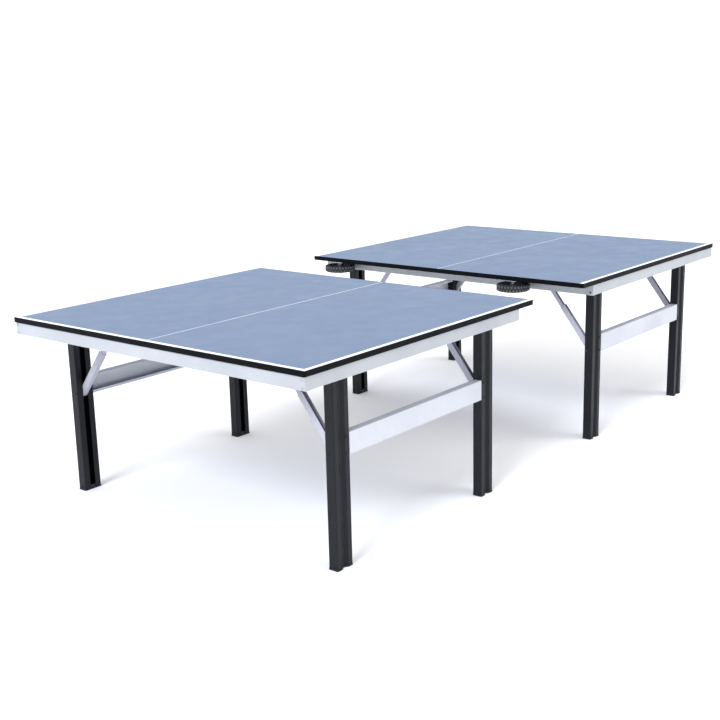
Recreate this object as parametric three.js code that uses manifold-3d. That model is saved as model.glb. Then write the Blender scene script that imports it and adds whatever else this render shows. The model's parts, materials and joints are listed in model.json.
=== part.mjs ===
// Ping pong table made of two identical half tables that stand apart, net edges facing each other.
// Millimetres, +Z up, X along the side lines. The origin is on the floor, midway between the halves.
// Each half is laid out from its own end line: x runs from the end line to the net edge, y across.

import * as THREE from 'three';
import { mergeVertices } from 'three/addons/utils/BufferGeometryUtils.js';
import Module from 'manifold-3d';

const wasm = await Module();
wasm.setup();

// Playing top
const halfLength = 1370;
const tableWidth = 1525;
const playHeight = 760;
const topThickness = 20;
const bandThickness = 2;
const bandCornerRadius = 5;
const halvesGap = 410;

// Fits
const touchGap = 0.3;
const pinClearance = 0.5;
const pinSegments = 12;
const swingClearance = 0.5;

// Frame under the top: channel rails, open towards the inside
const frameInset = 5;
const railHeight = 48;
const railDepth = 28;
const railWall = 2.5;

// Legs: lipped channel with a groove down the outer face
const legWidth = 80;
const legDepth = 40;
const legWall = 2;
const legSlot = 26;
const legBend = 3;
const grooveFlat = 10;
const grooveRun = 13;
const grooveDepth = 9;
const legSideInset = 58.5;
const endLegInset = 197;
const netLegInset = 206;

// Hinge line of a leg pair
const hingeDepth = 7.5;
const foldedHeadroom = 13;
const hingePinRadius = 3.5;
const hingePinReach = 8;
const legTopRise = 18;

// Feet
const footPlate = 5;
const footRim = 1.5;
const footPlugHeight = 12;
const footPlugGap = 0.5;

// Crossbars: lipped channel between the two legs of a pair
const crossbarHeight = 80;
const crossbarDepth = 34;
const crossbarLip = 12;
const crossbarWall = 2;
const crossbarDrop = 253.5;

// Struts: channel that gets thinner towards its top end
const strutSlope = THREE.MathUtils.degToRad(52);
const strutPinDrop = 279.5;
const strutPinDepth = 30;
const strutPinRadius = 5;
const strutEnd = 8;
const strutWidth = 20;
const strutDepth = 26;
const strutWall = 2;
const strutStep = 235;
const strutLap = 40;
const thinDepth = 18;
const thinWall = 2;
const thinBite = 0.2;
const strutFork = 12;

// Leg carriers: cross-members with the hinge ears and the guide plate of the struts
const carrierPlate = 3;
const earWall = 3;
const earInward = 14;
const earOutward = 12;
const earDrop = 8;
const guideWall = 4;
const guideEdge = 3.5;
const guideSlotHeight = 9;
const guideSlotMargin = 8;
const guideToLeg = 9;
const reliefGap = 2;

// Wheels lying flat under the net edge
const wheelRadius = 75;
const wheelInset = 17;
const wheelToRail = 8;
const wheelOffsets = { right: -605, left: 403 };
const wheelDrop = 15;
const wheelSegments = 30;
const tyreWidth = 30;
const tyreInnerRadius = 56;
const tyreCorner = 7;
const rimWall = 6;
const rimWidth = 26;
const spokeCount = 5;
const spokeWidth = 13;
const spokeDepth = 10;
const hubRadius = 15;
const hubLength = 34;
const axleRadius = 6;
const axleHeadRadius = 10;
const axleHeadHeight = 3.5;
const collarRadius = 9;
const bracketWall = 4;
const bracketWidth = 46;
const bracketFlange = 3;
const bracketReach = 14;

// Heights and places that follow from the sizes above
const boardBottom = playHeight - topThickness;
const railTop = boardBottom - touchGap;
const railBottom = boardBottom - railHeight;
const frameHalfWidth = tableWidth / 2 - frameInset;
const wheelPlace = halfLength - wheelInset;
const netRailFace = wheelPlace - wheelRadius - wheelToRail;
const legFace = tableWidth / 2 - legSideInset;
const legPlaces = {
  end: endLegInset + legWidth / 2,
  net: halfLength - netLegInset - legWidth / 2,
};
const hingeHeight = boardBottom - foldedHeadroom - (legDepth - hingeDepth);
const hingeReach = legFace - hingeDepth;
const foldedFootReach = hingeReach - hingeHeight + footPlate + footPlugHeight;
const reliefReach = Math.max(foldedFootReach, footPlate) + reliefGap;
const reliefTop = hingeHeight + legDepth - hingeDepth + footRim + reliefGap;

// The strut pivot sits as low as wished, or higher where the folded strut needs the room
const pinOffset = strutPinDepth - hingeDepth;
const slopeSine = Math.sin(strutSlope);
const foldedRoom = hingeReach - reliefReach - guideEdge - guideSlotMargin;
const pinDropLimit = (foldedRoom - pinOffset / slopeSine) / (1 + 1 / slopeSine);
const pinDrop = Math.min(strutPinDrop, pinDropLimit);
const strutPinHeight = hingeHeight - pinDrop;
const strutPinReach = legFace - strutPinDepth;
const guideHeight = hingeHeight + pinOffset;
const strutLength = (pinDrop + pinOffset) / slopeSine;
const strutTipReach = strutPinReach - strutLength * Math.cos(strutSlope);
const foldedTipReach = hingeReach - pinDrop - strutLength;
const tyreTop = boardBottom - wheelDrop;
const tyreBottom = tyreTop - tyreWidth;

// A shape runs in two axes and is drawn out along the third
const alongX = new THREE.Matrix4().makeBasis(
  new THREE.Vector3(0, 1, 0),
  new THREE.Vector3(0, 0, 1),
  new THREE.Vector3(1, 0, 0),
);
const alongY = new THREE.Matrix4().makeBasis(
  new THREE.Vector3(0, 0, 1),
  new THREE.Vector3(1, 0, 0),
  new THREE.Vector3(0, 1, 0),
);
const alongZ = new THREE.Matrix4();

const paints = {
  playingBlue: { color: 0x8fa6c4, roughness: 0.55, metalness: 0 },
  edgeBlack: { color: 0x14161a, roughness: 0.5, metalness: 0 },
  frameSilver: { color: 0xd8dce8, roughness: 0.4, metalness: 0.3 },
  legBlack: { color: 0x303338, roughness: 0.45, metalness: 0.3 },
  strutGrey: { color: 0xb9bac9, roughness: 0.4, metalness: 0.4 },
  footBlack: { color: 0x151619, roughness: 0.6, metalness: 0 },
  carrierGrey: { color: 0x9a9ca3, roughness: 0.45, metalness: 0.5 },
  tyreBlack: { color: 0x1a1b1d, roughness: 0.85, metalness: 0 },
  hubBlack: { color: 0x26282c, roughness: 0.5, metalness: 0 },
};

// --- geometry helpers ---

// Closed shape through [x, y] corners; a third number rounds that corner
function outline(corners) {
  const shape = new THREE.Shape();
  corners.forEach(([x, y, radius = 0], index) => {
    const corner = new THREE.Vector2(x, y);
    const before = new THREE.Vector2(...corners.at(index - 1).slice(0, 2));
    const after = new THREE.Vector2(...corners[(index + 1) % corners.length].slice(0, 2));
    const arrive = before.sub(corner).setLength(radius).add(corner);
    const leave = after.sub(corner).setLength(radius).add(corner);
    if (index === 0) shape.moveTo(arrive.x, arrive.y);
    else shape.lineTo(arrive.x, arrive.y);
    if (radius > 0) shape.quadraticCurveTo(corner.x, corner.y, leave.x, leave.y);
  });
  shape.closePath();
  return shape;
}

function rectangle(lowX, highX, lowY, highY, radius = 0) {
  return outline([
    [lowX, lowY, radius],
    [highX, lowY, radius],
    [highX, highY, radius],
    [lowX, highY, radius],
  ]);
}

function drawOut(shape, from, to, direction) {
  const geometry = new THREE.ExtrudeGeometry(shape, {
    depth: to - from,
    bevelEnabled: false,
    curveSegments: 2,
  });
  geometry.translate(0, 0, from);
  return geometry.applyMatrix4(direction);
}

function box(lowX, highX, lowY, highY, lowZ, highZ) {
  return drawOut(rectangle(lowX, highX, lowY, highY), lowZ, highZ, alongZ);
}

// Cylinder along X, centred on the given place
function crossPin(radius, length, x, y, z) {
  const geometry = new THREE.CylinderGeometry(radius, radius, length, pinSegments);
  return geometry.rotateZ(Math.PI / 2).translate(x, y, z);
}

// Solid of revolution about Z from a closed profile of [radius, z] points
function turned(profile, segments) {
  const points = [...profile, profile[0]].map(([radius, z]) => new THREE.Vector2(radius, z));
  return new THREE.LatheGeometry(points, segments).rotateX(Math.PI / 2);
}

function toSolid(geometry) {
  const bare = geometry.clone();
  bare.deleteAttribute('normal');
  bare.deleteAttribute('uv');
  const merged = mergeVertices(bare, 1e-4);
  return new wasm.Manifold(new wasm.Mesh({
    numProp: 3,
    vertProperties: new Float32Array(merged.attributes.position.array),
    triVerts: new Uint32Array(merged.index.array),
  }));
}

function toGeometry(solid) {
  const mesh = solid.getMesh();
  const geometry = new THREE.BufferGeometry();
  geometry.setAttribute('position', new THREE.BufferAttribute(mesh.vertProperties, 3));
  geometry.setIndex(new THREE.BufferAttribute(mesh.triVerts, 1));
  geometry.computeVertexNormals();
  return geometry;
}

function joined(...geometries) {
  return toGeometry(geometries.map(toSolid).reduce((whole, part) => whole.add(part)));
}

function cut(geometry, ...tools) {
  return toGeometry(tools.map(toSolid).reduce((rest, tool) => rest.subtract(tool), toSolid(geometry)));
}

function piece(name, geometry, paint) {
  const mesh = new THREE.Mesh(geometry, new THREE.MeshStandardMaterial(paints[paint]));
  mesh.name = name;
  return mesh;
}

// --- top ---

function boardGeometry() {
  const inset = bandThickness + touchGap;
  const halfWidth = tableWidth / 2 - inset;
  const radius = bandCornerRadius - bandThickness;
  const shape = rectangle(inset, halfLength - inset, -halfWidth, halfWidth, radius);
  return drawOut(shape, boardBottom, playHeight, alongZ);
}

function bandGeometry() {
  const halfWidth = tableWidth / 2;
  const shape = rectangle(0, halfLength, -halfWidth, halfWidth, bandCornerRadius);
  shape.holes.push(rectangle(
    bandThickness,
    halfLength - bandThickness,
    bandThickness - halfWidth,
    halfWidth - bandThickness,
    bandCornerRadius - bandThickness,
  ));
  return drawOut(shape, boardBottom, playHeight, alongZ);
}

// --- frame ---

// Channel in [depth, height] from its outer face at depth 0; heights are the rail's own
function railCorners() {
  return [
    [0, railBottom, railWall],
    [railDepth, railBottom],
    [railDepth, railBottom + railWall],
    [railWall, railBottom + railWall],
    [railWall, railTop - railWall],
    [railDepth, railTop - railWall],
    [railDepth, railTop],
    [0, railTop, railWall],
  ];
}

// End rail across the whole frame, its ends closed
function endRailGeometry() {
  const corners = railCorners().map(([depth, z, radius]) => [z, depth, radius]);
  const channel = drawOut(outline(corners), -frameHalfWidth, frameHalfWidth, alongY);
  const caps = [-1, 1].map((side) => {
    const inner = side * (frameHalfWidth - railWall);
    const outer = side * frameHalfWidth;
    return box(railWall / 2, railDepth, Math.min(inner, outer), Math.max(inner, outer),
      railBottom + railWall / 2, railTop - railWall / 2);
  });
  return joined(channel, ...caps);
}

// Net rail between the side rails
function netRailGeometry() {
  const halfSpan = frameHalfWidth - railDepth - touchGap;
  const corners = railCorners().map(([depth, z, radius]) => [z, -depth, radius]);
  return drawOut(outline(corners), -halfSpan, halfSpan, alongY);
}

// Side rail from behind the end rail to the net rail's face, where its end is closed.
// Outer face at y = 0, the rail lies towards +y times side.
function sideRailGeometry(side) {
  const start = frameInset + railDepth + touchGap;
  const corners = railCorners().map(([depth, z, radius]) => [side * depth, z, radius]);
  const channel = drawOut(outline(corners), start, netRailFace, alongX);
  const ends = [side * railWall / 2, side * railDepth].sort((a, b) => a - b);
  const cap = box(netRailFace - railWall, netRailFace, ...ends,
    railBottom + railWall / 2, railTop - railWall / 2);
  return joined(channel, cap);
}

// --- legs ---

// The leg's outer boundary moved inward by a distance, in [across, depth from the outer face]
function legBoundary(inward, bend) {
  const edge = legWidth / 2 - inward;
  const lean = inward * Math.tan(Math.atan2(grooveDepth, grooveRun) / 2);
  const grooveMouth = grooveFlat / 2 + grooveRun + lean;
  const grooveFloor = grooveFlat / 2 + lean;
  return [
    [-edge, legDepth - inward, bend],
    [-edge, inward, bend],
    [-grooveMouth, inward],
    [-grooveFloor, grooveDepth + inward],
    [grooveFloor, grooveDepth + inward],
    [grooveMouth, inward],
    [edge, inward, bend],
    [edge, legDepth - inward, bend],
  ];
}

function legGeometry() {
  const lipEdge = legSlot / 2;
  const corners = [
    [-lipEdge, legDepth],
    ...legBoundary(0, legBend),
    [lipEdge, legDepth],
    [lipEdge, legDepth - legWall],
    ...legBoundary(legWall, legBend - legWall).reverse(),
    [-lipEdge, legDepth - legWall],
  ];
  const channel = drawOut(outline(corners), footPlate + touchGap, hingeHeight + legTopRise, alongZ);
  const flange = (legWidth - legWall) / 2;
  const hingeHoles = [-flange, flange].map((x) => (
    crossPin(hingePinRadius + pinClearance, 3 * legWall, x, hingeDepth, hingeHeight)
  ));
  const strutHole = crossPin(
    strutPinRadius + pinClearance,
    legWidth + 2 * legWall,
    0,
    strutPinDepth,
    strutPinHeight,
  );
  return cut(channel, ...hingeHoles, strutHole);
}

function footGeometry() {
  const plate = drawOut(outline(legBoundary(-footRim, legBend + footRim)), 0, footPlate, alongZ);
  const plugInset = legWall + footPlugGap;
  const plugShape = outline(legBoundary(plugInset, 0));
  const plug = drawOut(plugShape, footPlate / 2, footPlate + footPlugHeight, alongZ);
  return joined(plate, plug);
}

function crossbarGeometry(lowX, highX) {
  const half = crossbarHeight / 2;
  const inner = crossbarDepth - crossbarWall;
  const corners = [
    [0, -half, legBend],
    [crossbarDepth, -half, legBend],
    [crossbarDepth, crossbarLip - half],
    [inner, crossbarLip - half],
    [inner, crossbarWall - half],
    [crossbarWall, crossbarWall - half],
    [crossbarWall, half - crossbarWall],
    [inner, half - crossbarWall],
    [inner, half - crossbarLip],
    [crossbarDepth, half - crossbarLip],
    [crossbarDepth, half, legBend],
    [0, half, legBend],
  ];
  return drawOut(outline(corners), lowX, highX, alongX);
}

// --- struts ---

// Channel along y, open towards +z, its floor at the given z
function openChannel(width, floor, depth, wall, from, to) {
  const half = width / 2;
  const top = floor + depth;
  const shape = outline([
    [floor, -half],
    [top, -half],
    [top, wall - half],
    [floor + wall, wall - half],
    [floor + wall, half - wall],
    [top, half - wall],
    [top, half],
    [floor, half],
  ]);
  return drawOut(shape, from, to, alongY);
}

// The strut lies along +y from its two pins to its tip, where it forks to straddle the guide plate
function strutGeometry() {
  const thickFloor = -strutDepth / 2;
  const thinWidth = strutWidth - 2 * strutWall + 2 * thinBite;
  const thinFloor = thickFloor + strutWall - thinBite;
  const tip = strutLength + strutEnd;
  const forkHalf = thinWidth / 2 - thinWall;
  const pinStart = (strutWidth - strutWall) / 2;
  const pinMiddle = (pinStart + legWidth / 2) / 2;
  const pins = [-pinMiddle, pinMiddle].map((x) => (
    crossPin(strutPinRadius, legWidth / 2 - pinStart, x, 0, 0)
  ));
  const whole = joined(
    openChannel(strutWidth, thickFloor, strutDepth, strutWall, -strutEnd, strutStep),
    openChannel(thinWidth, thinFloor, thinDepth, thinWall, strutStep - strutLap, tip),
    ...pins,
  );
  const mouth = box(-forkHalf, forkHalf, strutLength - strutFork, tip + thinWall,
    thinFloor - thinWall, thinFloor + thinWall);
  return cut(whole, mouth);
}

// --- leg carriers ---

function guideSlot(side) {
  const reach = [strutTipReach + guideSlotMargin, foldedTipReach - guideSlotMargin];
  const [low, high] = reach.map((distance) => side * distance).sort((a, b) => a - b);
  const half = guideSlotHeight / 2;
  return rectangle(low, high, guideHeight - half, guideHeight + half, half);
}

// Hinge ear beside a leg, its pin pointing towards the leg
function hingeEar(side, face) {
  const reach = [hingeReach - earInward, hingeReach + earOutward];
  const [low, high] = reach.map((distance) => side * distance).sort((a, b) => a - b);
  const inner = face * (legWidth / 2 + swingClearance);
  const outer = face * (legWidth / 2 + swingClearance + earWall);
  const shape = outline([
    [low, hingeHeight - earDrop, earDrop / 2],
    [high, hingeHeight - earDrop, earDrop / 2],
    [high, railTop],
    [low, railTop],
  ]);
  const ear = drawOut(shape, Math.min(inner, outer), Math.max(inner, outer), alongX);
  const pinMiddle = outer - face * hingePinReach / 2;
  return [ear, crossPin(hingePinRadius, hingePinReach, pinMiddle, side * hingeReach, hingeHeight)];
}

// Plate across the frame with hinge ears, and the guide plate, cut away where the folded feet come
function carrierGeometry() {
  const plateHalfWidth = legWidth / 2 + swingClearance + earWall;
  const plateHalfSpan = frameHalfWidth - railDepth - touchGap;
  const plate = box(-plateHalfWidth, plateHalfWidth, -plateHalfSpan, plateHalfSpan,
    railTop - carrierPlate, railTop);
  const guideHalfSpan = legFace - legDepth - guideToLeg;
  const guideBottom = guideHeight - guideSlotHeight / 2 - guideEdge;
  const guideTop = railTop - carrierPlate / 2;
  const guideShape = outline([
    [-guideHalfSpan, guideBottom],
    [-reliefReach, guideBottom],
    [-reliefReach, reliefTop],
    [reliefReach, reliefTop],
    [reliefReach, guideBottom],
    [guideHalfSpan, guideBottom],
    [guideHalfSpan, guideTop],
    [-guideHalfSpan, guideTop],
  ]);
  guideShape.holes.push(guideSlot(-1), guideSlot(1));
  const guide = drawOut(guideShape, -guideWall / 2, guideWall / 2, alongX);
  const ears = [-1, 1].flatMap((side) => [-1, 1].flatMap((face) => hingeEar(side, face)));
  return joined(plate, guide, ...ears);
}

// --- wheels, each about its own axle at x = y = 0 ---

function tyreGeometry() {
  return turned([
    [tyreInnerRadius, tyreBottom],
    [wheelRadius - tyreCorner, tyreBottom],
    [wheelRadius, tyreBottom + tyreCorner],
    [wheelRadius, tyreTop - tyreCorner],
    [wheelRadius - tyreCorner, tyreTop],
    [tyreInnerRadius, tyreTop],
  ], wheelSegments);
}

function ring(inner, outer, height, segments) {
  const middle = (tyreBottom + tyreTop) / 2;
  return turned([
    [inner, middle - height / 2],
    [outer, middle - height / 2],
    [outer, middle + height / 2],
    [inner, middle + height / 2],
  ], segments);
}

function hubGeometry() {
  const rimOuter = tyreInnerRadius - touchGap;
  const rimInner = rimOuter - rimWall;
  const middle = (tyreBottom + tyreTop) / 2;
  const bore = axleRadius + pinClearance;
  const spokes = Array.from({ length: spokeCount }, (_, index) => {
    const spoke = box((bore + hubRadius) / 2, rimInner + rimWall / 2, -spokeWidth / 2, spokeWidth / 2,
      middle - spokeDepth / 2, middle + spokeDepth / 2);
    return spoke.rotateZ((index * 2 * Math.PI) / spokeCount);
  });
  return joined(
    ring(rimInner, rimOuter, rimWidth, wheelSegments),
    ring(bore, hubRadius, hubLength, pinSegments),
    ...spokes,
  );
}

// Plate under the board, flange on the net rail, and the axle with its collar and head
function bracketGeometry() {
  const railSide = netRailFace + touchGap - wheelPlace;
  const halfWidth = bracketWidth / 2;
  const plateBottom = railTop - bracketWall;
  const middle = (tyreBottom + tyreTop) / 2;
  const headTop = middle - hubLength / 2 - touchGap;
  const collarBottom = middle + hubLength / 2 + touchGap;
  const column = (radius, low, high) => (
    new THREE.CylinderGeometry(radius, radius, high - low, pinSegments).rotateX(Math.PI / 2)
      .translate(0, 0, (low + high) / 2)
  );
  return joined(
    box(railSide, bracketReach, -halfWidth, halfWidth, plateBottom, railTop),
    box(railSide, railSide + bracketFlange, -halfWidth, halfWidth, railBottom + railWall, railTop),
    column(axleRadius, headTop - axleHeadHeight, plateBottom + bracketWall / 2),
    column(axleHeadRadius, headTop - axleHeadHeight, headTop),
    column(collarRadius, collarBottom, plateBottom + bracketWall / 2),
  );
}

// --- assembly ---

function placed(mesh, x, y, z = 0) {
  mesh.position.set(x, y, z);
  return mesh;
}

// Legs, feet, crossbar and struts of one side, laid out for the right side about the leg's outer face
function legPair(half, side) {
  const turn = side === 'right' ? 1 : -1;
  const group = new THREE.Group();
  group.position.y = -turn * legFace;
  group.rotation.z = side === 'right' ? 0 : Math.PI;
  Object.entries(legPlaces).forEach(([place, legX]) => {
    const x = turn * legX;
    const strut = piece(`${half}_strut_${place}_${side}`, strutGeometry(), 'strutGrey');
    strut.rotation.x = strutSlope;
    group.add(
      placed(piece(`${half}_leg_${place}_${side}`, legGeometry(), 'legBlack'), x, 0),
      placed(piece(`${half}_foot_${place}_${side}`, footGeometry(), 'footBlack'), x, 0),
      placed(strut, x, strutPinDepth, strutPinHeight),
    );
  });
  const reach = legWidth / 2 + touchGap;
  const [low, high] = [
    turn * (legPlaces.end + reach),
    turn * (legPlaces.net - reach),
  ].sort((a, b) => a - b);
  const crossbar = piece(`${half}_crossbar_${side}`, crossbarGeometry(low, high), 'frameSilver');
  group.add(placed(crossbar, 0, 0, hingeHeight - crossbarDrop));
  return group;
}

function wheel(half, side) {
  const group = new THREE.Group();
  group.position.set(wheelPlace, wheelOffsets[side], 0);
  group.add(
    piece(`${half}_wheel_tyre_${side}`, tyreGeometry(), 'tyreBlack'),
    piece(`${half}_wheel_hub_${side}`, hubGeometry(), 'hubBlack'),
    piece(`${half}_wheel_bracket_${side}`, bracketGeometry(), 'carrierGrey'),
  );
  return group;
}

function halfTable(half) {
  const group = new THREE.Group();
  group.add(
    piece(`${half}_tabletop`, boardGeometry(), 'playingBlue'),
    piece(`${half}_edge_band`, bandGeometry(), 'edgeBlack'),
    placed(piece(`${half}_end_rail`, endRailGeometry(), 'frameSilver'), frameInset, 0),
    placed(piece(`${half}_net_rail`, netRailGeometry(), 'frameSilver'), netRailFace, 0),
    placed(piece(`${half}_side_rail_right`, sideRailGeometry(1), 'frameSilver'), 0, -frameHalfWidth),
    placed(piece(`${half}_side_rail_left`, sideRailGeometry(-1), 'frameSilver'), 0, frameHalfWidth),
    placed(piece(`${half}_leg_carrier_end`, carrierGeometry(), 'carrierGrey'), legPlaces.end, 0),
    placed(piece(`${half}_leg_carrier_net`, carrierGeometry(), 'carrierGrey'), legPlaces.net, 0),
    legPair(half, 'right'),
    legPair(half, 'left'),
    wheel(half, 'right'),
    wheel(half, 'left'),
  );
  group.position.x = -(halfLength + halvesGap / 2);
  return group;
}

const nearHalf = halfTable('near');
const farHalf = new THREE.Group();
farHalf.rotation.z = Math.PI;
farHalf.add(halfTable('far'));

const table = new THREE.Group();
table.name = 'ping_pong_table';
table.add(nearHalf, farHalf);

export default table;
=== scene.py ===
import json
from math import pi, radians

import bmesh
import bpy
from mathutils import Matrix, Vector


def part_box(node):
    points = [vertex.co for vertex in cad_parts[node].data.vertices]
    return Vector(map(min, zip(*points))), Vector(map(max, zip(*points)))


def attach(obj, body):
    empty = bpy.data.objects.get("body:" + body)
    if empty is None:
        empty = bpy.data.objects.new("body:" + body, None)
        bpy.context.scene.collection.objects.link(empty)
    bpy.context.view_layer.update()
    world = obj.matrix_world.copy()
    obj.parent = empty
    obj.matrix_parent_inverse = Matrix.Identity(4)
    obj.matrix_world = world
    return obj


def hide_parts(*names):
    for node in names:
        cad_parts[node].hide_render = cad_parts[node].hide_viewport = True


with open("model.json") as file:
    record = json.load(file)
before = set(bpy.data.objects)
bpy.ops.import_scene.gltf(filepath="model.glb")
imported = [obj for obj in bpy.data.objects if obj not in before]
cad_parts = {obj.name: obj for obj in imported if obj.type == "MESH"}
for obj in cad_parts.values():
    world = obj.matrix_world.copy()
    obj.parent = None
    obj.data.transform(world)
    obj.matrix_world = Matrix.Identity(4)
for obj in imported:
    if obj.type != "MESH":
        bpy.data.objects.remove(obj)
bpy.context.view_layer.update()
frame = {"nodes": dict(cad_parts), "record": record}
mm = 0.001
closeBy = 0.1 * mm  # two places nearer than this count as one when faces and edges are picked
sides = ("right", "left")
halves = ("near", "far")
halfTurn = Matrix.Rotation(pi, 4, "Z")  # the far half is the near one turned round


# camera and light
cameraPlace = {
    "position": (-4.162, -3.115, 1.658),
    "tilt": 76.07,
    "roll": 1.39,
    "turn": -50.9,
    "lens": 58.1,
    "farthest": 200,
}
studio = {
    "sky": "#ffffff",
    "horizon": 1.05,  # strength of the white surround low down
    "surroundFade": (0.22, 0.36),  # heights, as the sine of the elevation, where the surround ends
    "lowSky": 0.62,
    "highSky": 1.05,
    "domeRise": (0.36, 0.85),  # and where the dome gets brighter
    "floorSize": 60,
    "floorDrop": 0.5 * mm,
}
lamps = {  # spread in degrees across, as a wide softbox far away
    "mainSoftbox": {"from": (-1.0, -0.15, 0.8), "spread": 24, "strength": 2.8, "colour": "#eef3ff"},
    "sideSoftbox": {"from": (0.5, -1.0, 0.9), "spread": 34, "strength": 0.8, "colour": "#fdfcfa"},
}
lampDistance = 5  # only where they are drawn, a sun lamp shines the same from anywhere


def linearColour(code):
    # sRGB hex to linear, with an opaque alpha
    parts = [int(code[i:i + 2], 16) / 255 for i in (1, 3, 5)]
    return (*[c / 12.92 if c <= 0.04045 else ((c + 0.055) / 1.055) ** 2.4 for c in parts], 1)


def addCamera(place):
    data = bpy.data.cameras.new("camera")
    data.lens = place["lens"]
    data.clip_end = place["farthest"]
    camera = bpy.data.objects.new("camera", data)
    camera.location = place["position"]
    camera.rotation_euler = [radians(place[k]) for k in ("tilt", "roll", "turn")]
    bpy.context.scene.collection.objects.link(camera)
    bpy.context.scene.camera = camera


def addSoftbox(name, lamp):
    data = bpy.data.lights.new(name, "SUN")
    data.angle = radians(lamp["spread"])
    data.energy = lamp["strength"]
    data.color = linearColour(lamp["colour"])[:3]
    comesFrom = Vector(lamp["from"])
    softbox = bpy.data.objects.new(name, data)
    softbox.location = comesFrom * lampDistance
    softbox.rotation_euler = comesFrom.to_track_quat("Z", "Y").to_euler()
    bpy.context.scene.collection.objects.link(softbox)


addCamera(cameraPlace)
for name, lamp in lamps.items():
    addSoftbox(name, lamp)
bpy.context.scene.view_settings.view_transform = "Standard"
print("camera and light placed")


# finishes
def addNode(tree, kind, settings=None, links=None):
    # settings reach sockets by name or number, and properties by name
    node = tree.nodes.new(kind)
    for key, value in (settings or {}).items():
        if isinstance(key, str) and hasattr(node, key):
            setattr(node, key, value)
        else:
            node.inputs[key].default_value = value
    for key, source in (links or {}).items():
        tree.links.new(source, node.inputs[key])
    return node


def addSky(light):
    # white surround low down, then a dome that gets brighter towards the top
    world = bpy.data.worlds.new("studioSky")
    world.use_nodes = True
    tree = world.node_tree
    direction = addNode(tree, "ShaderNodeTexCoord").outputs["Object"]
    height = addNode(tree, "ShaderNodeSeparateXYZ", {}, {0: direction}).outputs[2]
    dome = between(tree, height, light["lowSky"], light["highSky"], *light["domeRise"])
    surround = between(tree, height, light["horizon"], 0, *light["surroundFade"])
    strength = addNode(tree, "ShaderNodeMath", {"operation": "MAXIMUM"}, {0: dome, 1: surround})
    background = tree.nodes["Background"]
    background.inputs["Color"].default_value = linearColour(light["sky"])
    tree.links.new(strength.outputs[0], background.inputs["Strength"])
    bpy.context.scene.world = world


def startFinish(name, shaderSettings):
    finish = bpy.data.materials.new(name)
    finish.use_nodes = True
    tree = finish.node_tree
    tree.nodes.clear()
    place = addNode(tree, "ShaderNodeTexCoord").outputs["Object"]
    shader = addNode(tree, "ShaderNodeBsdfPrincipled", shaderSettings)
    addNode(tree, "ShaderNodeOutputMaterial", {}, {"Surface": shader.outputs[0]})
    return finish, tree, place, shader


def perMetre(millimetres):
    return 1000 / millimetres


def speckle(tree, place, millimetres, detail):
    # noise whose grains are this many millimetres across
    return addNode(
        tree, "ShaderNodeTexNoise",
        {"Scale": perMetre(millimetres), "Detail": detail}, {"Vector": place},
    ).outputs["Fac"]


def between(tree, value, low, high, fromLow=0.3, fromHigh=0.7):
    return addNode(
        tree, "ShaderNodeMapRange",
        {"From Min": fromLow, "From Max": fromHigh, "To Min": low, "To Max": high},
        {"Value": value},
    ).outputs[0]


def blendColours(tree, amount, low, high):
    # low and high are hex colours or sockets
    node = addNode(tree, "ShaderNodeMix", {"data_type": "RGBA"}, {0: amount})
    for slot, colour in ((6, low), (7, high)):
        if isinstance(colour, str):
            node.inputs[slot].default_value = linearColour(colour)
        else:
            tree.links.new(colour, node.inputs[slot])
    return node.outputs[2]


noiseDetail = {"patches": 3, "spots": 6, "gloss": 4, "grain": 2}
wearBand = (0.62, 0.72)  # rubbed spots show where their noise is this high


def coatedFinish(name, look):
    finish, tree, place, shader = startFinish(name, look["shader"])
    patches = speckle(tree, place, look["patchSize"], noiseDetail["patches"])
    colour = blendColours(tree, between(tree, patches, 0, 1), look["low"], look["high"])
    if "under" in look:  # a different coat on everything below this height
        height = addNode(tree, "ShaderNodeSeparateXYZ", {}, {0: place}).outputs[2]
        below = addNode(
            tree, "ShaderNodeMath", {"operation": "LESS_THAN", 1: look["underHeight"]}, {0: height})
        colour = blendColours(tree, below.outputs[0], colour, look["under"])
    if "wear" in look:  # small rubbed spots
        spots = speckle(tree, place, look["wearSize"], noiseDetail["spots"])
        rubbed = between(tree, spots, 0, look["wearAmount"], *wearBand)
        colour = blendColours(tree, rubbed, colour, look["wear"])
    tree.links.new(colour, shader.inputs["Base Color"])
    gloss = speckle(tree, place, look["glossSize"], noiseDetail["gloss"])
    tree.links.new(between(tree, gloss, *look["roughness"]), shader.inputs["Roughness"])
    grain = speckle(tree, place, look["grainSize"], noiseDetail["grain"])
    relief = addNode(
        tree, "ShaderNodeBump",
        {"Strength": look["reliefStrength"], "Distance": look["relief"] * mm}, {"Height": grain},
    )
    tree.links.new(relief.outputs[0], shader.inputs["Normal"])
    return finish


addSky(studio)
print("sky lit")

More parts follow.
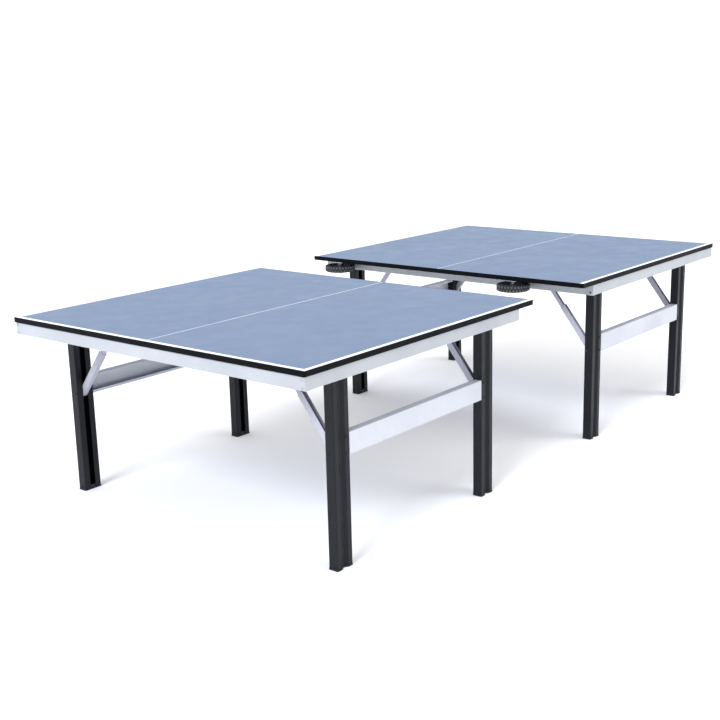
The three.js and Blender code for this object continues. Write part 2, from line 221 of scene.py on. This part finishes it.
looks = {
    # matt lacquer rolled on particle board: even blue, low sheen, a faint stipple, paler where rubbed,
    # and a darker coat on the underside
    "playingLacquer": {
        "low": "#6a7d99", "high": "#6d809c", "under": "#4d5c78", "underHeight": 0.7595,
        "patchSize": 420, "glossSize": 90, "grainSize": 2.2, "relief": 0.05, "reliefStrength": 0.35,
        "roughness": (0.42, 0.56), "wear": "#76889f", "wearSize": 16, "wearAmount": 0.15,
        "shader": {"IOR": 1.5, "Specular IOR Level": 0.5},
    },
    # screen-printed white line paint: chalky white, slightly grey where balls and hands dull it
    "linePaint": {
        "low": "#eef0f3", "high": "#fbfcfd", "patchSize": 160, "glossSize": 40, "grainSize": 1.8,
        "relief": 0.04, "reliefStrength": 0.3, "roughness": (0.4, 0.55),
        "wear": "#d3d8e2", "wearSize": 9, "wearAmount": 0.4, "shader": {"IOR": 1.5},
    },
    # extruded ABS edging: near black, satin, with a fine grain and small scuffs
    "absEdging": {
        "low": "#040509", "high": "#090b11", "patchSize": 70, "glossSize": 22, "grainSize": 1.2,
        "relief": 0.06, "reliefStrength": 0.4, "roughness": (0.4, 0.55), "wear": "#191b21",
        "wearSize": 6, "wearAmount": 0.3, "shader": {"IOR": 1.54, "Specular IOR Level": 0.06},
    },
    # polyester powder coat on steel, light silver: soft sheen, orange peel
    "silverPowderCoat": {
        "low": "#a7abb1", "high": "#b4b8bd", "patchSize": 300, "glossSize": 60, "grainSize": 1.6,
        "relief": 0.08, "reliefStrength": 0.35, "roughness": (0.38, 0.5), "wear": "#94979f",
        "wearSize": 7, "wearAmount": 0.35, "shader": {"Metallic": 0.15, "IOR": 1.5},
    },
    # the same coat, paler and faintly blue, on the crossbars
    "palePowderCoat": {
        "low": "#bcc0c9", "high": "#ccced6", "patchSize": 260, "glossSize": 60, "grainSize": 1.6,
        "relief": 0.08, "reliefStrength": 0.35, "roughness": (0.36, 0.5), "wear": "#a8abb3",
        "wearSize": 7, "wearAmount": 0.35, "shader": {"Metallic": 0.1, "IOR": 1.5},
    },
    # and in lilac grey on the struts and carriers
    "greyPowderCoat": {
        "low": "#a9a9b6", "high": "#b9b9c6", "patchSize": 120, "glossSize": 40, "grainSize": 1.5,
        "relief": 0.08, "reliefStrength": 0.4, "roughness": (0.38, 0.52), "wear": "#8f909c",
        "wearSize": 6, "wearAmount": 0.4, "shader": {"Metallic": 0.2, "IOR": 1.5},
    },
    # anthracite powder coat on roll-formed steel: dark, finely textured, satin along the bends
    "anthracitePowderCoat": {
        "low": "#090b10", "high": "#11141b", "patchSize": 140, "glossSize": 45, "grainSize": 1.1,
        "relief": 0.09, "reliefStrength": 0.5, "roughness": (0.34, 0.48), "wear": "#34363e",
        "wearSize": 5, "wearAmount": 0.3, "shader": {"IOR": 1.5, "Specular IOR Level": 0.24},
    },
    # bright zinc plating on steel: cool grey metal, blotchy gloss
    "zincPlate": {
        "low": "#a7abb3", "high": "#c4c8cf", "patchSize": 6, "glossSize": 3, "grainSize": 0.7,
        "relief": 0.03, "reliefStrength": 0.3, "roughness": (0.24, 0.42), "wear": "#8b8f97",
        "wearSize": 3, "wearAmount": 0.3, "shader": {"Metallic": 1.0},
    },
    # blackened steel of small screws: dark, oily sheen
    "blackenedSteel": {
        "low": "#24262a", "high": "#34373c", "patchSize": 5, "glossSize": 3, "grainSize": 0.7,
        "relief": 0.03, "reliefStrength": 0.3, "roughness": (0.3, 0.46), "wear": "#6b6e74",
        "wearSize": 3, "wearAmount": 0.4, "shader": {"Metallic": 0.7},
    },
    # moulded polypropylene: black, faintly greasy sheen
    "mouldedPolypropylene": {
        "low": "#0f1013", "high": "#1a1b1f", "patchSize": 30, "glossSize": 12, "grainSize": 0.9,
        "relief": 0.05, "reliefStrength": 0.4, "roughness": (0.4, 0.56), "wear": "#3b3c40",
        "wearSize": 4, "wearAmount": 0.35, "shader": {"IOR": 1.49},
    },
    # glass-filled nylon of the wheel centres: black with a dry sheen
    "mouldedNylon": {
        "low": "#17191d", "high": "#23262b", "patchSize": 22, "glossSize": 9, "grainSize": 0.8,
        "relief": 0.04, "reliefStrength": 0.4, "roughness": (0.36, 0.5), "wear": "#3c3f45",
        "wearSize": 4, "wearAmount": 0.3, "shader": {"IOR": 1.53},
    },
    # vulcanised rubber: charcoal, dull, dusty on the tread
    "tyreRubber": {
        "low": "#0c0d0e", "high": "#17181a", "patchSize": 16, "glossSize": 7, "grainSize": 0.8,
        "relief": 0.12, "reliefStrength": 0.6, "roughness": (0.5, 0.72), "wear": "#4c4b49",
        "wearSize": 6, "wearAmount": 0.5, "shader": {"IOR": 1.52, "Specular IOR Level": 0.35},
    },
    # the same rubber on the tread blocks, painted greyer all over as a painted highlight for the glints
    # on the tread, with scuffed, dusty spots
    "dustyRubberPaintedGlint": {
        "low": "#37383a", "high": "#515254", "patchSize": 8, "glossSize": 5, "grainSize": 0.8,
        "relief": 0.12, "reliefStrength": 0.6, "roughness": (0.45, 0.65), "wear": "#6b6a68",
        "wearSize": 5, "wearAmount": 0.5, "shader": {"IOR": 1.52},
    },
    # pale studio floor paint, with a faint glow for the light that a wide white room throws back
    "floorPaint": {
        "low": "#f1f1f2", "high": "#f6f6f7", "patchSize": 900, "glossSize": 400, "grainSize": 40,
        "relief": 0.02, "reliefStrength": 0.1, "roughness": (0.8, 0.9),
        "shader": {"Specular IOR Level": 0.2, "Emission Color": (1, 1, 1, 1), "Emission Strength": 0.12},
    },
}
finishes = {name: coatedFinish(name, look) for name, look in looks.items()}
slotFinish = {
    "playing_top": "playingLacquer", "edge_band": "absEdging", "frame": "silverPowderCoat",
    "carrier": "greyPowderCoat", "bracket": "zincPlate", "leg": "anthracitePowderCoat",
    "foot": "mouldedPolypropylene", "crossbar": "palePowderCoat", "strut": "greyPowderCoat",
    "tyre": "tyreRubber", "hub": "mouldedNylon",
}
for subpart in frame["record"]["subparts"]:
    node = frame["nodes"][subpart["node"]]
    for slot in node.material_slots:
        slot.material = finishes[slotFinish[subpart["material_slot"]]]
print("finishes made:", len(finishes))


# modelling helpers
mergeDistance = 0.01 * mm
sharpFrom = 30  # degrees between two faces from which their edge is bevelled


def nothingSelected():
    if bpy.context.mode != "OBJECT":
        bpy.ops.object.mode_set(mode="OBJECT")
    bpy.ops.object.select_all(action="DESELECT")


def onlySelected(piece):
    nothingSelected()
    piece.select_set(True)
    bpy.context.view_layer.objects.active = piece


def settlePlace(piece):
    # place, turn and scale go into the mesh
    onlySelected(piece)
    bpy.ops.object.transform_apply(location=True, rotation=True, scale=True)


def startBox(name, low, high):
    nothingSelected()
    middle = (Vector(low) + Vector(high)) / 2
    bpy.ops.mesh.primitive_cube_add(size=1, location=middle)
    piece = bpy.context.object
    piece.name = name
    piece.scale = Vector(high) - Vector(low)
    settlePlace(piece)
    return piece


def startCylinder(name, radius, low, high, corners):
    # upright cylinder about the Z axis between two heights
    nothingSelected()
    bpy.ops.mesh.primitive_cylinder_add(
        vertices=corners, radius=radius, depth=high - low, location=(0, 0, (low + high) / 2))
    piece = bpy.context.object
    piece.name = name
    settlePlace(piece)
    return piece


def openMesh(piece, kind):
    # edit mode with nothing selected yet
    if bpy.context.mode != "EDIT_MESH":
        onlySelected(piece)
        bpy.ops.object.mode_set(mode="EDIT")
    bpy.ops.mesh.select_mode(type=kind)
    bpy.ops.mesh.select_all(action="DESELECT")
    return bmesh.from_edit_mesh(piece.data)


def editFaces(piece, wanted):
    # only the wanted faces selected, chosen by centre and normal
    mesh = openMesh(piece, "FACE")
    for face in mesh.faces:
        face.select_set(bool(wanted(face.calc_center_median(), face.normal)))
    bmesh.update_edit_mesh(piece.data)


def editEdges(piece, wanted):
    # only the wanted edges selected, chosen by their two ends
    mesh = openMesh(piece, "EDGE")
    for edge in mesh.edges:
        edge.select_set(bool(wanted(edge.verts[0].co, edge.verts[1].co)))
    bmesh.update_edit_mesh(piece.data)


def everything(centre, normal):
    return True


def upward(centre, normal):
    return normal.z > 0.99


def outwardX(centre, normal):
    return normal.x > 0.9


def rimAt(height):
    # picks the edges that lie at this height or above
    return lambda a, b: min(a.z, b.z) > height - closeBy


def finishPiece(piece, finish, angle=35, bevel=0.0, steps=2):
    # normals outward, an optional edge bevel, smooth shading and one finish
    editFaces(piece, everything)
    bpy.ops.mesh.remove_doubles(threshold=mergeDistance)
    bpy.ops.mesh.normals_make_consistent(inside=False)
    onlySelected(piece)
    if bevel:
        rounding = piece.modifiers.new("edgeBevel", "BEVEL")
        rounding.width = bevel
        rounding.segments = steps
        rounding.limit_method = "ANGLE"
        rounding.angle_limit = radians(sharpFrom)
        bpy.ops.object.modifier_apply(modifier=rounding.name)
    bpy.ops.object.shade_smooth_by_angle(angle=radians(angle))
    piece.data.materials.clear()
    piece.data.materials.append(finishes[finish])
    return piece


def joinPieces(pieces, name):
    nothingSelected()
    for piece in pieces:
        piece.select_set(True)
    bpy.context.view_layer.objects.active = pieces[0]
    if len(pieces) > 1:
        bpy.ops.object.join()
    joined = bpy.context.view_layer.objects.active
    joined.name = name
    return joined


def facing(direction):
    # the smallest turn that takes +Z there
    return Vector((0, 0, 1)).rotation_difference(Vector(direction)).to_matrix().to_4x4()


def copyOf(model, matrix):
    copy = model.copy()
    copy.data = model.data.copy()
    copy.data.transform(matrix)
    bpy.context.scene.collection.objects.link(copy)
    return copy


def setOut(model, name, spots, body, replaced=()):
    # copies of a model at (place, direction) spots of the near half, joined, and again for the far half
    for half in halves:
        turn = Matrix() if half == "near" else halfTurn
        places = [turn @ Matrix.Translation(place) @ facing(aim) for place, aim in spots]
        copies = [copyOf(model, matrix) for matrix in places]
        piece = joinPieces(copies, f"{half}_{name}")
        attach(piece, f"{half}_{body}")
        if replaced:
            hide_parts(*[f"{half}_{node}" for node in replaced])


def discard(model):
    bpy.data.objects.remove(model)


def nearBox(node):
    low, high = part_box(f"near_{node}")
    return Vector(low), Vector(high)


# fasteners, each modelled once with its seat at the origin and its head along +Z
buttonSizes = {
    "radius": 5.2 * mm,
    "height": 3 * mm,
    "dome": 1.3 * mm,
    "rim": 1.3 * mm,  # round the driver recess
    "recess": 1.6 * mm,
}
panSizes = {
    "radius": 4.4 * mm,
    "height": 2.4 * mm,
    "dome": 1.3 * mm,
    "rim": 1 * mm,
    "recess": 1.4 * mm,
}
pivotSizes = {
    "radius": 4.4 * mm,
    "height": 3.2 * mm,
    "dome": 1.8 * mm,
    "washerRadius": 7.4 * mm,
    "washer": 1.4 * mm,
    "washerEdge": 0.4 * mm,
}
nutSizes = {
    "radius": 5.7 * mm,
    "height": 5.0 * mm,
    "faceRim": 0.8 * mm,
    "chamfer": 0.7 * mm,
    "thread": 2.9 * mm,
    "threadStart": 1 * mm,
    "threadEnd": 8.5 * mm,
    "threadPoint": 0.6 * mm,
}


def makeButton(name, sizes, finish):
    # domed head with a driver recess
    button = startCylinder(name, sizes["radius"], 0, sizes["height"], corners=20)
    editEdges(button, rimAt(sizes["height"]))
    bpy.ops.mesh.bevel(offset=sizes["dome"], segments=3)
    editFaces(button, upward)
    bpy.ops.mesh.inset(thickness=sizes["rim"])
    bpy.ops.mesh.extrude_region_move(TRANSFORM_OT_translate={"value": (0, 0, -sizes["recess"])})
    return finishPiece(button, finish)


def makePivot(sizes):
    # domed pin head on its washer
    seat = sizes["washer"]
    crown = seat + sizes["height"]
    head = startCylinder("pivotHead", sizes["radius"], seat, crown, corners=24)
    editEdges(head, rimAt(crown))
    bpy.ops.mesh.bevel(offset=sizes["dome"], segments=4)
    finishPiece(head, "blackenedSteel", angle=50)
    washer = startCylinder("pivotWasher", sizes["washerRadius"], 0, seat, corners=28)
    finishPiece(washer, "blackenedSteel", bevel=sizes["washerEdge"])
    return joinPieces([head, washer], "pivotModel")


def makeNut(sizes):
    # hexagon nut with chamfered corners and the thread's end standing out of it
    nut = startCylinder("nutBody", sizes["radius"], 0, sizes["height"], corners=6)
    editFaces(nut, upward)
    bpy.ops.mesh.inset(thickness=sizes["faceRim"])
    top, outermost = rimAt(sizes["height"]), sizes["radius"] - closeBy
    editEdges(nut, lambda a, b: top(a, b) and min(a.xy.length, b.xy.length) > outermost)
    bpy.ops.mesh.bevel(offset=sizes["chamfer"], segments=2)
    finishPiece(nut, "zincPlate")
    start, end = sizes["threadStart"], sizes["threadEnd"]
    thread = startCylinder("nutThread", sizes["thread"], start, end, corners=16)
    finishPiece(thread, "zincPlate", bevel=sizes["threadPoint"])
    return joinPieces([nut, thread], "nutModel")


button = makeButton("buttonModel", buttonSizes, "blackenedSteel")
panScrew = makeButton("panScrewModel", panSizes, "zincPlate")
darkScrew = makeButton("darkScrewModel", panSizes, "blackenedSteel")
pivot = makePivot(pivotSizes)
nut = makeNut(nutSizes)
print("fastener models made")


# legs: crossbar screws, strut pivots, foot screws and hinge pins
legDetails = {
    "ribInset": 14 * mm,  # screws from the leg's edge beside the crossbar
    "screwDrops": (12 * mm, 72 * mm),  # screws below the crossbar's top
    "pivotDepth": 30 * mm,  # strut pivot from the leg's outer face
    "pivotDrop": 325 * mm,  # strut pivot below the board
    "footScrewHeight": 13 * mm,
    "footScrewDepth": 22 * mm,
    "hingeDepth": 7.5 * mm,
    "hingeDrop": 45.5 * mm,  # hinge axis below the board
}
legPlaces = ("end", "net")
boardLow = nearBox("tabletop")[0].z


def outwardOf(side):
    return -1 if side == "right" else 1


def legSpots(side, details):
    outward = outwardOf(side)
    barLow, barHigh = nearBox(f"crossbar_{side}")
    spots = {kind: [] for kind in ("screws", "feet", "heads", "hinges")}
    for legPlace in legPlaces:
        legLow, legHigh = nearBox(f"leg_{legPlace}_{side}")
        outerFace = legLow.y if outward < 0 else legHigh.y
        toBar = 1 if barLow.x > legLow.x else -1
        barEdge, freeEdge = (legHigh.x, legLow.x) if toBar > 0 else (legLow.x, legHigh.x)
        for drop in details["screwDrops"]:
            place = (barEdge - toBar * details["ribInset"], outerFace, barHigh.z - drop)
            spots["screws"].append((place, (0, outward, 0)))
        pivotLine = outerFace - outward * details["pivotDepth"]
        spots["heads"].append(((freeEdge, pivotLine, boardLow - details["pivotDrop"]), (-toBar, 0, 0)))
        footLine = outerFace - outward * details["footScrewDepth"]
        hingeLine = outerFace - outward * details["hingeDepth"]
        earLow, earHigh = nearBox(f"leg_carrier_{legPlace}")
        for aim, legEdge, earFace in ((-1, legLow.x, earLow.x), (1, legHigh.x, earHigh.x)):
            spots["feet"].append(((legEdge, footLine, details["footScrewHeight"]), (aim, 0, 0)))
            spots["hinges"].append(((earFace, hingeLine, boardLow - details["hingeDrop"]), (aim, 0, 0)))
    return spots


for side in sides:
    spots = legSpots(side, legDetails)
    setOut(button, f"crossbarScrews_{side}", spots["screws"], f"legs_{side}")
    setOut(darkScrew, f"footScrews_{side}", spots["feet"], f"legs_{side}")
    setOut(pivot, f"pivotHeads_{side}", spots["heads"], f"struts_{side}")
    setOut(pivot, f"hingeHeads_{side}", spots["hinges"], "top")
print("leg fasteners set out")


# struts: the bolt with its roller that runs in the guide plate's slot
sliderSizes = {
    "roller": 4.0 * mm,
    "halfRoller": 5 * mm,
    "lap": 2.4 * mm,  # middle part that lies in the slot
    "rollerEdge": 0.4 * mm,
    "halfShank": 8.0 * mm,
    "shank": 2.6 * mm,
    "head": 6.2 * mm,
    "headHeight": 3.0 * mm,
    "headEdge": 0.8 * mm,
    "reach": 437.9 * mm,  # from the table's middle line
    "drop": 23 * mm,  # below the board
}


def makeSlider(sizes):
    # made upright and laid along X when it is set out
    reach = sizes["halfShank"]
    shank = startCylinder("sliderShank", sizes["shank"], -reach, reach, corners=14)
    finishPiece(shank, "zincPlate")
    half = sizes["halfRoller"]
    roller = startCylinder("sliderRoller", sizes["roller"], -half, half, corners=24)
    for height in (-sizes["lap"], sizes["lap"]):
        editFaces(roller, everything)
        bpy.ops.mesh.bisect(plane_co=(0, 0, height), plane_no=(0, 0, 1))
    finishPiece(roller, "mouldedNylon", bevel=sizes["rollerEdge"])
    heads = []
    for end in (-1, 1):
        low, high = sorted((end * reach, end * (reach + sizes["headHeight"])))
        head = startCylinder("sliderHead", sizes["head"], low, high, corners=24)
        heads.append(finishPiece(head, "zincPlate", bevel=sizes["headEdge"]))
    return joinPieces([shank, roller, *heads], "sliderModel")


slider = makeSlider(sliderSizes)
for side in sides:
    sliderSpots = []
    for legPlace in legPlaces:
        legLow, legHigh = nearBox(f"leg_{legPlace}_{side}")
        across = outwardOf(side) * sliderSizes["reach"]
        place = ((legLow.x + legHigh.x) / 2, across, boardLow - sliderSizes["drop"])
        sliderSpots.append((place, (1, 0, 0)))
    setOut(slider, f"strutSliders_{side}", sliderSpots, f"struts_{side}")
print("strut sliders set out")


# playing lines: a film of white paint on each half, open towards the net
lineSizes = {
    "border": 20 * mm,  # from the table's edge, the band included
    "band": 2 * mm,
    "centre": 3 * mm,
    "film": 0.15 * mm,
    "sunk": 0.1 * mm,
}


def makeLines(sizes):
    low, high = nearBox("tabletop")
    inner = sizes["border"] - sizes["band"]
    half = sizes["centre"] / 2
    middle = (low + high) / 2
    middle.z = high.z - sizes["sunk"]
    nothingSelected()
    bpy.ops.mesh.primitive_plane_add(size=1, location=middle)
    paint = bpy.context.object
    paint.scale = (high.x - low.x, high.y - low.y, 1)
    settlePlace(paint)
    cuts = [((low.x + inner, 0, 0), (1, 0, 0))]
    cuts += [((0, y, 0), (0, 1, 0)) for y in (low.y + inner, -half, half, high.y - inner)]
    for place, normal in cuts:
        editFaces(paint, everything)
        bpy.ops.mesh.bisect(plane_co=place, plane_no=normal)

    def bare(centre, normal):  # the blue fields between the lines
        return centre.x > low.x + inner and half < abs(centre.y) < high.y - inner

    editFaces(paint, bare)
    bpy.ops.mesh.delete(type="FACE")
    editFaces(paint, everything)
    rise = sizes["film"] + sizes["sunk"]
    bpy.ops.mesh.extrude_region_move(TRANSFORM_OT_translate={"value": (0, 0, rise)})
    return finishPiece(paint, "linePaint")


lines = makeLines(lineSizes)
setOut(lines, "playingLines", [((0, 0, 0), (0, 0, 1))], "top")
print("playing lines painted")


# wheels: treaded tyre, rim with spokes and the nut under the axle
wheelSizes = {
    "shoulder": 3.5 * mm,
    "treadDepth": 3 * mm,
    "treadSunk": 3 * mm,  # the blocks' roots in the tyre
    "treadShort": 0.3 * mm,  # and how far their tops stay inside its full radius
    "treadCount": 30,
    "blockWidth": 9 * mm,
    "blockLength": 10.5 * mm,
    "blockTaper": (1, 0.84, 0.88),
    "blockEdge": 0.4 * mm,
    "blockTurn": 20,
    "rowOffset": 7 * mm,
    "tyreWall": 18.8 * mm,
    "rimWall": 5.6 * mm,
    "rimInset": 4 * mm,  # from the hub's ends
    "rimEdge": 1 * mm,
    "hub": 15 * mm,
    "hubEdge": 0.8 * mm,
    "bore": 6.4 * mm,
    "spokes": 5,
    "spokeWidth": 14 * mm,
    "spokeTaper": (1, 0.66, 0.8),
    "halfSpoke": 5 * mm,
    "spokeLap": 1.5 * mm,  # into the hub and the rim
    "spokeEdge": 1.2 * mm,
}


def ringFrom(piece, thickness):
    # opens a cylinder into a ring with a wall this thick
    editFaces(piece, lambda centre, normal: abs(normal.z) > 0.99)
    bpy.ops.mesh.inset(thickness=thickness)
    bpy.ops.mesh.delete(type="FACE")
    bpy.ops.mesh.select_mode(type="EDGE")
    bpy.ops.mesh.select_all(action="DESELECT")
    bpy.ops.mesh.select_non_manifold()
    bpy.ops.mesh.bridge_edge_loops()
    return piece


def makeTyre(sizes):
    low, high = nearBox("wheel_tyre_right")
    radius, halfWidth = (high.x - low.x) / 2, (high.z - low.z) / 2
    ground = radius - sizes["treadDepth"]  # radius between the blocks
    body = startCylinder("tyreBody", ground, -halfWidth, halfWidth, corners=72)
    ringFrom(body, sizes["tyreWall"] - sizes["treadDepth"])
    finishPiece(body, "tyreRubber", angle=50, bevel=sizes["shoulder"], steps=3)
    wide, long = sizes["blockWidth"] / 2, sizes["blockLength"] / 2
    root, crown = ground - sizes["treadSunk"], radius - sizes["treadShort"]
    block = startBox("treadBlock", (root, -wide, -long), (crown, wide, long))
    editFaces(block, outwardX)
    bpy.ops.transform.resize(value=sizes["blockTaper"])
    # the blocks are painted greyer than the tyre body: a painted highlight standing in for glints on the
    # tread
    finishPiece(block, "dustyRubberPaintedGlint", bevel=sizes["blockEdge"], steps=1)
    pitch = 2 * pi / sizes["treadCount"]
    blocks = []
    for row in (-1, 1):  # two rows, half a pitch apart
        turned = Matrix.Rotation(radians(row * sizes["blockTurn"]), 4, "X")
        lean = Matrix.Translation((0, 0, row * sizes["rowOffset"])) @ turned
        for i in range(sizes["treadCount"]):
            around = Matrix.Rotation((i + row / 4) * pitch, 4, "Z")
            blocks.append(copyOf(block, around @ lean))
    discard(block)
    return joinPieces([body, *blocks], "tyreModel")


def makeWheelCentre(sizes):
    low, high = nearBox("wheel_hub_right")
    radius, hubHalf = (high.x - low.x) / 2, (high.z - low.z) / 2
    rimHalf = hubHalf - sizes["rimInset"]
    rim = startCylinder("wheelRim", radius, -rimHalf, rimHalf, corners=60)
    finishPiece(ringFrom(rim, sizes["rimWall"]), "mouldedNylon", bevel=sizes["rimEdge"])
    hub = startCylinder("wheelHub", sizes["hub"], -hubHalf, hubHalf, corners=36)
    finishPiece(ringFrom(hub, sizes["hub"] - sizes["bore"]), "mouldedNylon", bevel=sizes["hubEdge"])
    inner, outer = sizes["hub"] - sizes["spokeLap"], radius - sizes["rimWall"] + sizes["spokeLap"]
    wide, thick = sizes["spokeWidth"] / 2, sizes["halfSpoke"]
    spoke = startBox("wheelSpoke", (inner, -wide, -thick), (outer, wide, thick))
    editFaces(spoke, outwardX)
    bpy.ops.transform.resize(value=sizes["spokeTaper"])
    finishPiece(spoke, "mouldedNylon", bevel=sizes["spokeEdge"])
    step = 2 * pi / sizes["spokes"]
    spokes = [copyOf(spoke, Matrix.Rotation(i * step, 4, "Z")) for i in range(sizes["spokes"])]
    discard(spoke)
    return joinPieces([rim, hub, *spokes], "wheelCentreModel")


tyre = makeTyre(wheelSizes)
wheelCentre = makeWheelCentre(wheelSizes)
for side in sides:
    low, high = nearBox(f"wheel_tyre_{side}")
    spot = [((low + high) / 2, (0, 0, 1))]
    setOut(tyre, f"tyre_{side}", spot, f"wheel_{side}", (f"wheel_tyre_{side}",))
    setOut(wheelCentre, f"wheelCentre_{side}", spot, f"wheel_{side}", (f"wheel_hub_{side}",))
    axleEnd = ((low.x + high.x) / 2, (low.y + high.y) / 2, nearBox(f"wheel_bracket_{side}")[0].z)
    setOut(nut, f"axleNut_{side}", [(axleEnd, (0, 0, -1))], "top")
print("wheels set out")


# frame: corner screws, caps on the open rail ends and the screws that hold the carriers to the board
frameDetails = {
    "cornerInset": 12 * mm,
    "cornerDrops": (10.7 * mm, 40.7 * mm),
    "cap": 1.6 * mm,
    "capPanel": 3 * mm,
    "capSunk": 0.5 * mm,
    "capEdge": 0.4 * mm,
    "capScrewDrop": 35 * mm,
    "carrierPlate": 3 * mm,
    "carrierInset": 14 * mm,
    "carrierReaches": (70 * mm, 250 * mm, 560 * mm),
}


def makeCap(details):
    # plate on the open end of a side rail, its outer face towards +X
    low, high = nearBox("side_rail_right")
    cap = startBox("capModel", (high.x, low.y, low.z), (high.x + details["cap"], high.y, high.z))
    editFaces(cap, outwardX)
    bpy.ops.mesh.inset(thickness=details["capPanel"])
    bpy.ops.transform.translate(value=(-details["capSunk"], 0, 0))
    return finishPiece(cap, "silverPowderCoat", bevel=details["capEdge"])


cap = makeCap(frameDetails)
endLow, endHigh = nearBox("end_rail")
railLow, railHigh = nearBox("side_rail_right")
capPanel = railHigh.x + frameDetails["cap"] - frameDetails["capSunk"]
capScrewHeight = railHigh.z - frameDetails["capScrewDrop"]
cornerSpots, capScrewSpots = [], []
for outward in (-1, 1):
    for drop in frameDetails["cornerDrops"]:
        reach = outward * (endHigh.y - frameDetails["cornerInset"])
        cornerSpots.append(((endLow.x, reach, endHigh.z - drop), (-1, 0, 0)))
    reach = outward * (abs(railLow.y) + abs(railHigh.y)) / 2
    capScrewSpots.append(((capPanel, reach, capScrewHeight), (1, 0, 0)))
setOut(panScrew, "cornerScrews", cornerSpots, "top")
setOut(darkScrew, "capScrews", capScrewSpots, "top")
setOut(cap, "railEndCap_right", [((0, 0, 0), (0, 0, 1))], "top")
otherSide = Vector((0, -(railLow.y + railHigh.y), 0))
setOut(cap, "railEndCap_left", [(otherSide, (0, 0, 1))], "top")
carrierSpots = []
for legPlace in legPlaces:
    low, high = nearBox(f"leg_carrier_{legPlace}")
    for reach in frameDetails["carrierReaches"]:
        for x in (low.x + frameDetails["carrierInset"], high.x - frameDetails["carrierInset"]):
            for y in (-reach, reach):
                carrierSpots.append(((x, y, high.z - frameDetails["carrierPlate"]), (0, 0, -1)))
setOut(panScrew, "carrierScrews", carrierSpots, "top")
print("frame details set out")


for model in (button, panScrew, darkScrew, pivot, nut, slider, lines, tyre, wheelCentre, cap):
    discard(model)


# floor
nothingSelected()
bpy.ops.mesh.primitive_plane_add(size=studio["floorSize"], location=(0, 0, -studio["floorDrop"]))
floor = bpy.context.object
floor.name = "studioFloor"
settlePlace(floor)
floor.data.materials.append(finishes["floorPaint"])
